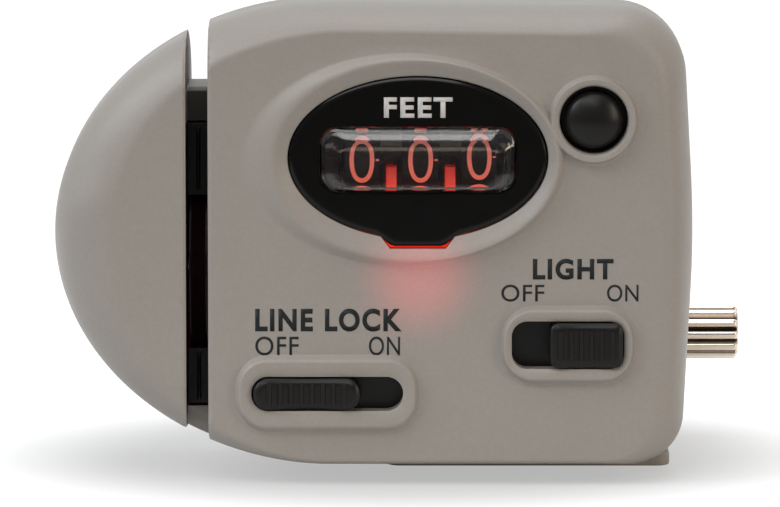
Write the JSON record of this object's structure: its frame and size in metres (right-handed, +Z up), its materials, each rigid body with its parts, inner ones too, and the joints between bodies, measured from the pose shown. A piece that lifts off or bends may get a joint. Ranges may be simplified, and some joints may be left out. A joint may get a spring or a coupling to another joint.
{
  "type": "fishing line counter",
  "caption": "Clip-on fishing line counter: line turns a grooved wheel that drives digit drums behind a lit window, with reset button, line lock, light switch and rod clamp.",
  "frame": {"origin": "centre of the bounding box in plan, on the flat foot of the rod clamp at the bottom", "axes": "+X from the line slot's wing towards the thumb screw, +Y from the display face to the rod clamp at the back, +Z up along the line slot"},
  "size_m": [0.0784, 0.045, 0.054],
  "materials": {
    "taupe_plastic": "fine moulded texture, satin",
    "black_plastic": "glossy black moulding",
    "drum_black": "satin black",
    "acetal_white": "natural acetal",
    "clear_lens": "clear polished window",
    "red_light_guide": "clear red moulding",
    "steel": "bright steel",
    "nickel_plate": "nickel plated",
    "brass": "plain",
    "black_rubber": "matt",
    "circuit_board": "solder-masked board"
  },
  "bodies": {
    "housing": {"carry_shaft": "steel", "cell_contact_back": "brass", "cell_contact_front": "brass", "circuit_board": "circuit_board", "clamp_base": "taupe_plastic", "clamp_plate_screw_1": "steel", "clamp_plate_screw_2": "steel", "coin_cell": "steel", "counter_frame": "black_plastic", "display_bezel": "black_plastic", "fixed_jaw_pad": "black_rubber", "front_shell": "taupe_plastic", "gear_plate": "steel", "housing_screw_1": "steel", "housing_screw_2": "steel", "housing_screw_3": "steel", "housing_screw_4": "steel", "lamp": "red_light_guide", "lens": "clear_lens", "light_guide": "red_light_guide", "light_switch_body": "steel", "line_channel": "black_plastic", "rear_shell": "taupe_plastic", "reset_spring": "steel", "wheel_bush_left": "brass", "wheel_bush_right": "brass"},
    "wheel": {"measuring_wheel": "drum_black", "wheel_shaft": "steel"},
    "first_gear": {"first_reduction_gear": "acetal_white"},
    "second_gear": {"second_reduction_gear": "acetal_white"},
    "units": {"units_drum": "drum_black", "digit_shaft": "steel"},
    "tens": {"tens_drum": "drum_black"},
    "hundreds": {"hundreds_drum": "drum_black"},
    "tens_carry": {"tens_carry_pinion": "acetal_white"},
    "hundreds_carry": {"hundreds_carry_pinion": "acetal_white"},
    "button": {"reset_button": "black_plastic"},
    "comb": {"reset_comb": "steel"},
    "lock": {"lock_knob": "black_plastic", "lock_carriage": "black_plastic"},
    "lever": {"lock_lever": "steel"},
    "keeper": {"keeper_pin": "steel"},
    "roller": {"keeper_roller": "acetal_white"},
    "light": {"light_knob": "black_plastic"},
    "screw": {"clamp_screw": "nickel_plate", "screw_clip": "steel"},
    "jaw": {"clamp_jaw": "taupe_plastic", "sliding_jaw_pad": "black_rubber"},
    "door": {"cell_door": "taupe_plastic"}
  },
  "joints": [
    {"name": "wheel_spin", "type": "hinge", "parent": "housing", "child": "wheel", "pos_m": [-0.02305, -0.00625, 0.0231], "axis": [1, 0, 0], "continuous": true},
    {"name": "first_gear_spin", "type": "hinge", "parent": "housing", "child": "first_gear", "pos_m": [-0.01805, -0.00458, 0.03255], "axis": [1, 0, 0], "continuous": true},
    {"name": "second_gear_spin", "type": "hinge", "parent": "housing", "child": "second_gear", "pos_m": [-0.01605, -0.00555, 0.0421], "axis": [1, 0, 0], "continuous": true},
    {"name": "units_spin", "type": "hinge", "parent": "housing", "child": "units", "pos_m": [0.00855, -0.00835, 0.0368], "axis": [1, 0, 0], "continuous": true},
    {"name": "tens_spin", "type": "hinge", "parent": "housing", "child": "tens", "pos_m": [0.00197, -0.00835, 0.0368], "axis": [1, 0, 0], "continuous": true},
    {"name": "hundreds_spin", "type": "hinge", "parent": "housing", "child": "hundreds", "pos_m": [-0.00461, -0.00835, 0.0368], "axis": [1, 0, 0], "continuous": true},
    {"name": "tens_carry_spin", "type": "hinge", "parent": "housing", "child": "tens_carry", "pos_m": [0.00495, -0.0002, 0.02996], "axis": [1, 0, 0], "continuous": true},
    {"name": "hundreds_carry_spin", "type": "hinge", "parent": "housing", "child": "hundreds_carry", "pos_m": [-0.00155, -0.0002, 0.02996], "axis": [1, 0, 0], "continuous": true},
    {"name": "reset_press", "type": "slide", "parent": "housing", "child": "button", "axis": [0, 1, 0], "range_m": [0, 0.002], "stiffness_N_per_m": 250, "springref_m": -0.002, "deforming": ["reset_spring"]},
    {"name": "reset_comb_rock", "type": "hinge", "parent": "housing", "child": "comb", "pos_m": [0.00195, -0.00095, 0.0475], "axis": [1, 0, 0], "range_deg": [0, 18.6]},
    {"name": "lock_slide", "type": "slide", "parent": "housing", "child": "lock", "axis": [1, 0, 0], "range_m": [0, 0.0046]},
    {"name": "lock_lever_turn", "type": "hinge", "parent": "housing", "child": "lever", "pos_m": [-0.01595, -0.01515, 0.0168], "axis": [0, -1, 0], "range_deg": [0, 40.16]},
    {"name": "keeper_slide", "type": "slide", "parent": "housing", "child": "keeper", "axis": [1, 0, 0], "range_m": [-0.00465, 0]},
    {"name": "roller_spin", "type": "hinge", "parent": "keeper", "child": "roller", "pos_m": [-0.01855, -0.01765, 0.0231], "axis": [1, 0, 0], "continuous": true},
    {"name": "light_slide", "type": "slide", "parent": "housing", "child": "light", "axis": [1, 0, 0], "range_m": [-0.0041, 0]},
    {"name": "clamp_screw_turn", "type": "hinge", "parent": "housing", "child": "screw", "pos_m": [0.02865, 0.01585, 0.0122], "axis": [1, 0, 0], "range_deg": [-10, 1815]},
    {"name": "clamp_jaw_slide", "type": "slide", "parent": "housing", "child": "jaw", "axis": [1, 0, 0], "range_m": [-0.005, 0]},
    {"name": "cell_door_turn", "type": "hinge", "parent": "housing", "child": "door", "pos_m": [0.01715, 0.00605, 0.0382], "axis": [0, 1, 0], "range_deg": [0, 45]}
  ],
  "couplings": [
    {"joint": "first_gear_spin", "follows": "wheel_spin", "ratio": -0.2},
    {"joint": "second_gear_spin", "follows": "wheel_spin", "ratio": 0.04},
    {"joint": "units_spin", "follows": "wheel_spin", "ratio": -0.02},
    {"joint": "tens_spin", "follows": "wheel_spin", "ratio": -0.002},
    {"joint": "hundreds_spin", "follows": "wheel_spin", "ratio": -0.0002},
    {"joint": "tens_carry_spin", "follows": "wheel_spin", "ratio": 0.005},
    {"joint": "hundreds_carry_spin", "follows": "wheel_spin", "ratio": 0.0005},
    {"joint": "reset_comb_rock", "follows": "reset_press", "rad_per_m": 161.3},
    {"joint": "lock_lever_turn", "follows": "lock_slide", "rad_per_m": 152.19},
    {"joint": "keeper_slide", "follows": "lock_slide", "ratio": -1},
    {"joint": "clamp_screw_turn", "follows": "clamp_jaw_slide", "rad_per_m": -6283.2}
  ]
}
